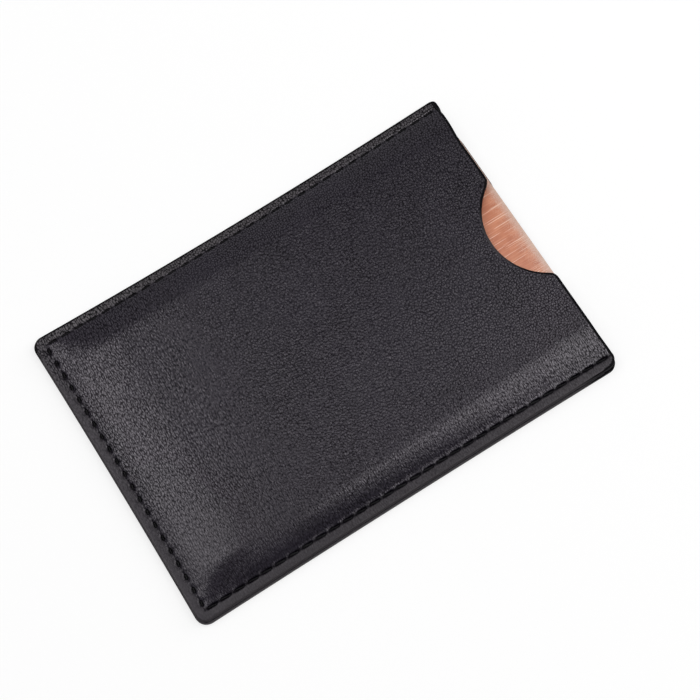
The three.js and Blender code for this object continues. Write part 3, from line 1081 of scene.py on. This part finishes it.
finish = Finish("woven_lining")
yarns = {"Vector": finish.place, "Scale": scale_per_band * yarns_per_metre}
warp = finish.add("ShaderNodeTexWave", yarns, bands_direction="X").outputs["Fac"]
weft = finish.add("ShaderNodeTexWave", yarns, bands_direction="Y").outputs["Fac"]
weave = finish.sum((warp, 0.5), (weft, 0.5))
slubs = finish.noise(finish.stretch((1.0, 0.1, 1.0)), 1500.0, 2.0)
finish.relief(finish.sum((weave, 0.8), (slubs, 0.2)), 0.05 * mm, 0.8)
tone = finish.mix(weave, (0.014, 0.013, 0.015, 1), (0.040, 0.038, 0.042, 1))
finish.set(Base_Color=tone, Roughness=0.85, Sheen_Weight=0.2)
for cloth in (front_lining, back_lining):
    cloth.data.materials.append(finish.material)
print("cloth on", front_lining.name, "and", back_lining.name)

# %% [markdown]
# ## Thread
# The thread is black polyester. Its plies are modelled, so the finish only has to add the fibres:
# fine noise that varies the tone and roughens the surface, with little reflection, because fibres
# scatter light.

# %% Make the thread finish
finish = Finish("black_thread")
fibres = finish.noise(finish.place, 9000.0, 2.0)
finish.relief(fibres, 0.03 * mm, 0.6)
tone = finish.mix(fibres, (0.0015, 0.0014, 0.0018, 1), (0.0060, 0.0056, 0.0068, 1))
finish.set(Base_Color=tone, Roughness=0.65, Specular_IOR_Level=0.2)
for thread in (needle, bobbin):
    thread.data.materials.append(finish.material)
print("thread on", needle.name, "and", bobbin.name)

# %% [markdown]
# ## Board
# The board behind the back lining is pressed from pulp. It keeps the packed solid, which is a plain
# sheet already, and gets a matt finish with drawn-out noise for the pulp and sparse dark flecks.

# %% Make the board finish
finish = Finish("fibre_board")
pulp = finish.noise(finish.stretch((1.0, 0.35, 1.0)), 700.0, 4.0)
flecks = finish.ramp(finish.noise(finish.place, 2600.0, 2.0), 0.62, 0.7)
tone = finish.mix(pulp, (0.11, 0.10, 0.085, 1), (0.20, 0.19, 0.165, 1))
finish.relief(pulp, 0.03 * mm, 0.5)
finish.set(Base_Color=finish.mix(flecks, tone, (0.05, 0.045, 0.04, 1)), Roughness=0.9)
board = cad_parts["back_stiffener"]
board.data.materials.clear()
board.data.materials.append(finish.material)
print("board finish on", board.name)

# %% [markdown]
# ## Card
# The card is printed in a copper tone with fine streaks and a few bright scored lines along its
# length, under a clear laminate, and it is speckled and paler towards its end. Noise stretched
# along the card gives the streaks and stays in place when the card slides. The cut edge shows a
# pale core.

# %% Make the card's print
copper_dark, copper_pale = (0.515, 0.156, 0.074, 1), (0.63, 0.222, 0.111, 1)
streak_tone, scored_tone = (0.78, 0.38, 0.22, 1), (0.90, 0.62, 0.48, 1)
end_speckle_colour, pale_end_strip = (0.72, 0.47, 0.36, 1), (0.66, 0.53, 0.46, 1)
speckles_from, pale_strip_from, end_ramps_to = (card_high.x - reach * mm for reach in (3.5, 1.8, 0.2))

finish = Finish("copper_print")
brushed = finish.noise(finish.stretch((0.012, 1.0, 1.0)), 3800.0, 2.0, 0.6)
scored = finish.noise(finish.stretch((0.020, 1.0, 1.0), 1.0), 5200.0, 0.0)
mottle = finish.noise(finish.place, 340.0, 3.0)
copper = finish.mix(finish.ramp(mottle, 0.35, 0.65), copper_dark, copper_pale)
streaked = finish.mix(finish.ramp(brushed, 0.52, 0.74, 0, 0.42), copper, streak_tone)
lined = finish.mix(finish.ramp(scored, 0.68, 0.72, 0, 0.9), streaked, scored_tone)
along = finish.axes()["X"]
near_end = finish.ramp(along, speckles_from, end_ramps_to, 0, 1)
sand = finish.ramp(finish.noise(finish.place, 5200.0, 2.0), 0.45, 0.62)
# Towards the card's end the print is speckled, and then paler.
rubbed = finish.mix(finish.math("MULTIPLY", near_end, sand), lined, end_speckle_colour)
at_end = finish.ramp(along, pale_strip_from, end_ramps_to, 0, 0.6)
finish.relief(brushed, 0.01 * mm, 0.3)
finish.set(Base_Color=finish.mix(at_end, rubbed, pale_end_strip), Roughness=0.34)
finish.set(Coat_Weight=0.3, Coat_Roughness=0.15)
card.data.materials.append(finish.material)
print("card print has", len(finish.tree.nodes), "nodes")

# %% Make the card's core
finish = Finish("pale_card_core")
layers = finish.noise(finish.stretch((0.2, 0.2, 3.0)), 2200.0, 2.0)
tone = finish.mix(layers, (0.50, 0.47, 0.44, 1), (0.72, 0.70, 0.67, 1))
finish.relief(layers, 0.01 * mm, 0.4)
finish.set(Base_Color=tone, Roughness=0.5)
card.data.materials.append(finish.material)
for face in card.data.polygons:
    face.material_index = 0 if abs(face.normal.z) > 0.5 else 1
print("card core faces:", sum(face.material_index for face in card.data.polygons))

# %% [markdown]
# ## Paper
# The sleeve lies on white paper: a wide plane just under the back panel, large enough that its far
# edge is lost in the pale room. It stays white in the picture by glowing a little for rays that
# come from the camera or a reflection, so that no extra light has to fall on the leather.

# %% Lay the paper
paper_side = 40.0
paper_gap = 0.02 * mm
paper_glow = 0.70

deselect_all()
bpy.ops.mesh.primitive_plane_add(size=paper_side, location=(0, 0, -paper_gap))
paper = bpy.context.object
paper.name = "white_paper"
finish = Finish("matt_white_paper")
ray = finish.add("ShaderNodeLightPath").outputs
kinds = ("Is Camera Ray", "Is Glossy Ray", "Is Transmission Ray")
seen = finish.sum(*((ray[kind], 1.0) for kind in kinds))
glow = finish.ramp(seen, 0, 1, 0, paper_glow)
finish.set(Base_Color=(0.34, 0.34, 0.34, 1), Roughness=0.9, Specular_IOR_Level=0.0)
finish.set(Emission_Color=(1, 1, 1, 1), Emission_Strength=glow)
paper.data.materials.append(finish.material)
print("paper laid, side in m:", paper_side)

# %% [markdown]
# ## Light
# Two broad soft lights stand where the slopes mirror them into the camera, beyond the closed end
# and beyond the mouth. A lamp's reflection has a hard rim, so the one at the mouth has a larger,
# dimmer scrim round it. Three weak fills keep the other sides readable. The room is bright only low
# down, so that the paper's far edge doesn't show as a line.

# %% Set the lights
lamps = {
    "closed_end_softbox": ((-0.34, 0.31, 0.887), 0.9, 0.62, 2.12),
    "mouth_side_softbox": ((0.43, -0.18, 0.88), 0.98, 0.62, 1.7),
    "mouth_side_scrim": ((0.43, -0.18, 0.88), 1.0, 1.05, 3.35),
    "far_side_fill": ((0.27, 0.79, 0.55), 1.0, 0.90, 0.7),
    "low_mouth_fill": ((0.90, -0.05, 0.42), 1.2, 0.8, 3.0),
    "low_closed_fill": ((-0.90, 0.10, 0.42), 1.2, 0.8, 1.1),
}
for name, (towards, distance, size, watts) in lamps.items():
    deselect_all()
    place = Vector(towards).normalized() * distance
    facing = place.to_track_quat("Z", "Y").to_euler()
    bpy.ops.object.light_add(type="AREA", location=place, rotation=facing)
    lamp = bpy.context.object
    lamp.name = name
    lamp.data.shape = "DISK"
    lamp.data.size = size
    lamp.data.energy = watts
print("lamps:", ", ".join(lamps))

# %% Set the room
room_levels = {"From Min": 0.06, "From Max": 0.22, "To Min": 0.74, "To Max": 0.12}
world = bpy.data.worlds.new("soft_room")
bpy.context.scene.world = world
world.use_nodes = True
room = world.node_tree
background = room.nodes["Background"]
background.inputs["Color"].default_value = (1, 1, 1, 1)
direction = room.nodes.new("ShaderNodeTexCoord").outputs["Generated"]
split = room.nodes.new("ShaderNodeSeparateXYZ")
room.links.new(direction, split.inputs[0])
dimmer = room.nodes.new("ShaderNodeMapRange")
dimmer.interpolation_type = "SMOOTHSTEP"
for name, value in room_levels.items():
    dimmer.inputs[name].default_value = value
room.links.new(split.outputs["Z"], dimmer.inputs["Value"])
room.links.new(dimmer.outputs["Result"], background.inputs["Strength"])
print("room brightness, low and high:", room_levels["To Min"], room_levels["To Max"])

# %% [markdown]
# The dressed sleeve must still be the size of the packed one.
